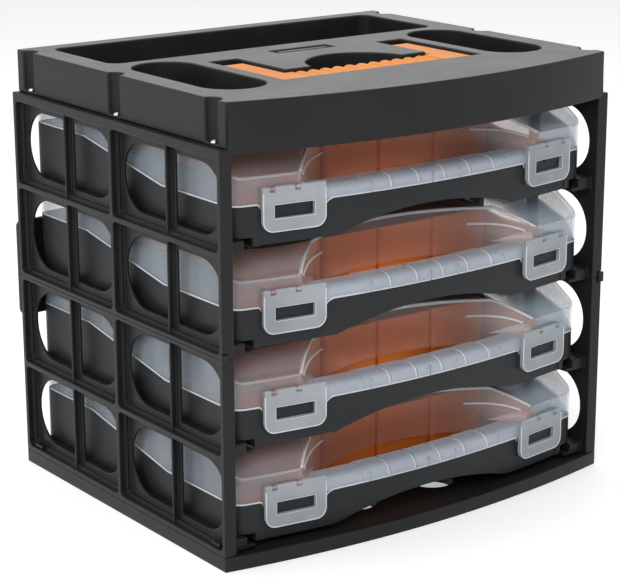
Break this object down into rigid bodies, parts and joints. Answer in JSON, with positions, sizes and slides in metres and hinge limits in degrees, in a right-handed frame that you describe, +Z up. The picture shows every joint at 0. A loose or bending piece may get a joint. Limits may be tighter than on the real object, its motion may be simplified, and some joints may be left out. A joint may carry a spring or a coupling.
{
  "type": "assortment case",
  "caption": "Black plastic rack of pull-out assortment cases with milky hinged lids, latches and orange bins, under a carrying tray with a folding handle.",
  "frame": {"origin": "on the floor, in the middle of the base between the side panels and between their front and rear edges", "axes": "+X to the right, +Y to the back, +Z up; the cases pull out towards -Y"},
  "size_m": [0.4026, 0.3474, 0.372],
  "materials": {
    "rack_black": "satin",
    "case_grey": "satin",
    "lid_milky": "gloss",
    "bin_orange": "satin",
    "handle_orange": "satin",
    "steel": "plain"
  },
  "bodies": {
    "rack": {"base_plate": "rack_black", "left_lower_panel": "rack_black", "left_upper_panel": "rack_black", "right_lower_panel": "rack_black", "right_upper_panel": "rack_black", "seam_clips": "rack_black", "rear_brace": "rack_black", "brace_screws": "steel", "top_tray": "rack_black", "tray_screws": "steel", "handle_pins": "steel"},
    "handle": {"carry_handle": "handle_orange"},
    "case_1": {"case_1_base": "case_grey", "case_1_front_bins": "bin_orange", "case_1_rear_bins": "bin_orange", "case_1_hinge_pins": "steel"},
    "case_1_cover": {"case_1_lid": "lid_milky", "case_1_latch_pins": "steel"},
    "case_1_left_flap": {"case_1_latch_left": "lid_milky"},
    "case_1_right_flap": {"case_1_latch_right": "lid_milky"},
    "case_2": {"case_2_base": "case_grey", "case_2_front_bins": "bin_orange", "case_2_rear_bins": "bin_orange", "case_2_hinge_pins": "steel"},
    "case_2_cover": {"case_2_lid": "lid_milky", "case_2_latch_pins": "steel"},
    "case_2_left_flap": {"case_2_latch_left": "lid_milky"},
    "case_2_right_flap": {"case_2_latch_right": "lid_milky"},
    "case_3": {"case_3_base": "case_grey", "case_3_front_bins": "bin_orange", "case_3_rear_bins": "bin_orange", "case_3_hinge_pins": "steel"},
    "case_3_cover": {"case_3_lid": "lid_milky", "case_3_latch_pins": "steel"},
    "case_3_left_flap": {"case_3_latch_left": "lid_milky"},
    "case_3_right_flap": {"case_3_latch_right": "lid_milky"},
    "case_4": {"case_4_base": "case_grey", "case_4_front_bins": "bin_orange", "case_4_rear_bins": "bin_orange", "case_4_hinge_pins": "steel"},
    "case_4_cover": {"case_4_lid": "lid_milky", "case_4_latch_pins": "steel"},
    "case_4_left_flap": {"case_4_latch_left": "lid_milky"},
    "case_4_right_flap": {"case_4_latch_right": "lid_milky"}
  },
  "joints": [
    {"name": "handle_fold", "type": "hinge", "parent": "rack", "child": "handle", "pos_m": [0, -0.013, 0.363], "axis": [-1, 0, 0], "range_deg": [0, 90]},
    {"name": "case_1_slide", "type": "slide", "parent": "rack", "child": "case_1", "axis": [0, -1, 0], "range_m": [0, 0.33]},
    {"name": "case_1_lid_hinge", "type": "hinge", "parent": "case_1", "child": "case_1_cover", "pos_m": [0, 0.159, 0.0678], "axis": [-1, 0, 0], "range_deg": [0, 0.85]},
    {"name": "case_1_left_latch_hinge", "type": "hinge", "parent": "case_1_cover", "child": "case_1_left_flap", "pos_m": [-0.13187, -0.15672, 0.0593], "axis": [-0.9899, 0.1415, 0], "range_deg": [0, 100]},
    {"name": "case_1_right_latch_hinge", "type": "hinge", "parent": "case_1_cover", "child": "case_1_right_flap", "pos_m": [0.13187, -0.15672, 0.0593], "axis": [-0.9899, -0.1415, 0], "range_deg": [0, 100]},
    {"name": "case_2_slide", "type": "slide", "parent": "rack", "child": "case_2", "axis": [0, -1, 0], "range_m": [0, 0.33]},
    {"name": "case_2_lid_hinge", "type": "hinge", "parent": "case_2", "child": "case_2_cover", "pos_m": [0, 0.159, 0.1468], "axis": [-1, 0, 0], "range_deg": [0, 0.85]},
    {"name": "case_2_left_latch_hinge", "type": "hinge", "parent": "case_2_cover", "child": "case_2_left_flap", "pos_m": [-0.13187, -0.15672, 0.1383], "axis": [-0.9899, 0.1415, 0], "range_deg": [0, 100]},
    {"name": "case_2_right_latch_hinge", "type": "hinge", "parent": "case_2_cover", "child": "case_2_right_flap", "pos_m": [0.13187, -0.15672, 0.1383], "axis": [-0.9899, -0.1415, 0], "range_deg": [0, 100]},
    {"name": "case_3_slide", "type": "slide", "parent": "rack", "child": "case_3", "axis": [0, -1, 0], "range_m": [0, 0.33]},
    {"name": "case_3_lid_hinge", "type": "hinge", "parent": "case_3", "child": "case_3_cover", "pos_m": [0, 0.159, 0.2278], "axis": [-1, 0, 0], "range_deg": [0, 0.85]},
    {"name": "case_3_left_latch_hinge", "type": "hinge", "parent": "case_3_cover", "child": "case_3_left_flap", "pos_m": [-0.13187, -0.15672, 0.2193], "axis": [-0.9899, 0.1415, 0], "range_deg": [0, 100]},
    {"name": "case_3_right_latch_hinge", "type": "hinge", "parent": "case_3_cover", "child": "case_3_right_flap", "pos_m": [0.13187, -0.15672, 0.2193], "axis": [-0.9899, -0.1415, 0], "range_deg": [0, 100]},
    {"name": "case_4_slide", "type": "slide", "parent": "rack", "child": "case_4", "axis": [0, -1, 0], "range_m": [0, 0.33]},
    {"name": "case_4_lid_hinge", "type": "hinge", "parent": "case_4", "child": "case_4_cover", "pos_m": [0, 0.159, 0.3088], "axis": [-1, 0, 0], "range_deg": [0, 0.85]},
    {"name": "case_4_left_latch_hinge", "type": "hinge", "parent": "case_4_cover", "child": "case_4_left_flap", "pos_m": [-0.13187, -0.15672, 0.3003], "axis": [-0.9899, 0.1415, 0], "range_deg": [0, 100]},
    {"name": "case_4_right_latch_hinge", "type": "hinge", "parent": "case_4_cover", "child": "case_4_right_flap", "pos_m": [0.13187, -0.15672, 0.3003], "axis": [-0.9899, -0.1415, 0], "range_deg": [0, 100]}
  ]
}
